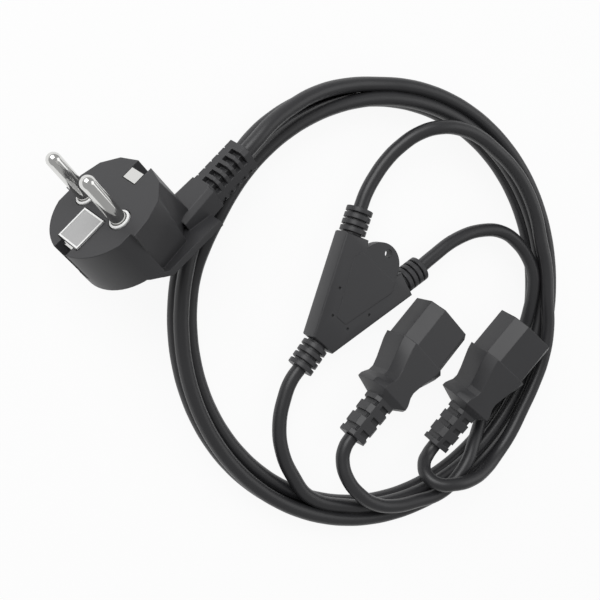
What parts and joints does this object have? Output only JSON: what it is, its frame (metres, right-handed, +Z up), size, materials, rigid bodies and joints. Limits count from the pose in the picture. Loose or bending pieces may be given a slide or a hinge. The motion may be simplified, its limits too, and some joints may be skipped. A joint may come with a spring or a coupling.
{
  "type": "power cord splitter",
  "caption": "Coiled mains lead with an angled plug that splits at a flat moulded Y junction into two short leads ending in appliance connectors",
  "frame": {"origin": "on the underside of the Y junction, near its middle", "axes": "+Z up from the table, +X from the supply end of the Y junction toward its two branches"},
  "size_m": [0.1758, 0.2233, 0.0458],
  "materials": {
    "pvc": "satin moulded PVC",
    "insert_pvc": "matt hard plastic",
    "cord_pvc": "satin extruded PVC sheath",
    "nickel": "bright nickel plate",
    "tin": "tinned brass",
    "white_nylon": "smooth white nylon",
    "grey_plate": "smooth light grey plastic"
  },
  "bodies": {
    "root": {"plug_body": "pvc", "plug_bridge": "insert_pvc", "pin_line": "nickel", "pin_neutral": "nickel", "collar_line": "white_nylon", "collar_neutral": "white_nylon", "earth_strap": "nickel", "face_plate": "grey_plate", "splitter_body": "pvc", "splice_line": "tin", "splice_earth": "tin", "splice_neutral": "tin", "connector_a_body": "pvc", "connector_a_insert": "insert_pvc", "contact_a_line": "tin", "contact_a_earth": "tin", "contact_a_neutral": "tin", "connector_b_body": "pvc", "connector_b_insert": "insert_pvc", "contact_b_line": "tin", "contact_b_earth": "tin", "contact_b_neutral": "tin", "cord_coil": "cord_pvc", "cord_plug_lead": "cord_pvc", "cord_splitter_lead": "cord_pvc", "cord_branch_a": "cord_pvc", "cord_branch_b": "cord_pvc"}
  },
  "joints": []
}
